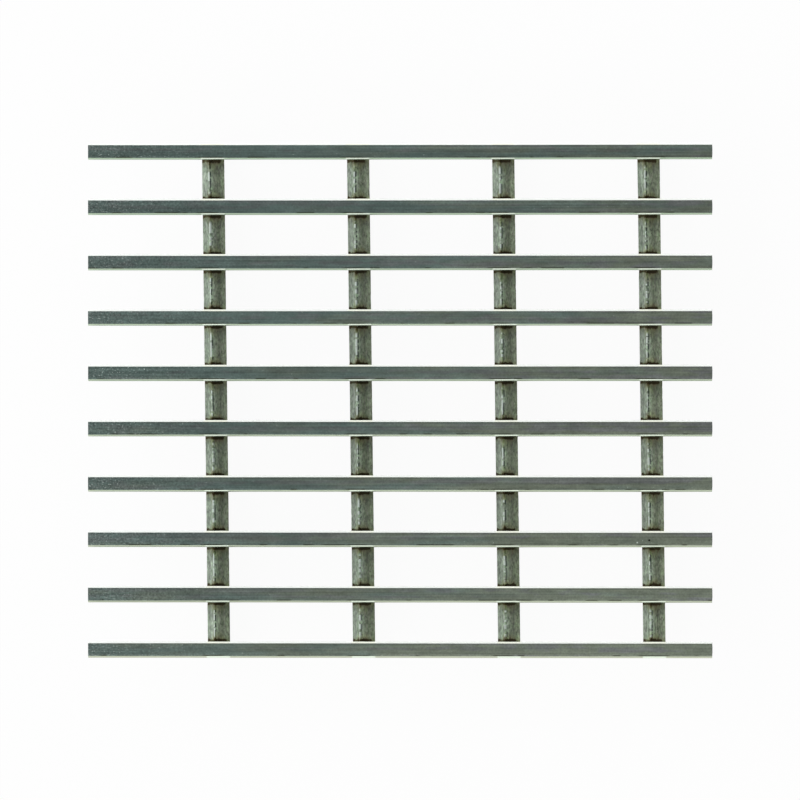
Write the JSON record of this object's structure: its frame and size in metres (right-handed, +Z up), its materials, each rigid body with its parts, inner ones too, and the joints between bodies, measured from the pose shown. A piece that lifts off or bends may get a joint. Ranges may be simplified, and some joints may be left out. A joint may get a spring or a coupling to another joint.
{
  "type": "wedge wire screen panel",
  "caption": "Flat wedge wire screen panel: parallel flat-faced V-shaped profile wires welded across V-shaped support rods, with wide open slots for draining and screening.",
  "frame": {"origin": "middle of the panel's underside, on the plane of the support rods' bases", "axes": "+X along the profile wires, +Y across them and within a degree of the support rods, +Z up out of the wires' flat screening face"},
  "size_m": [0.1072, 0.0882, 0.0115],
  "materials": {
    "stainless_wire": "drawn stainless steel, satin, grey with a faint green cast, dark heat tint at the welds"
  },
  "bodies": {
    "root": {"wedge_wire_panel": "stainless_wire"}
  },
  "joints": []
}
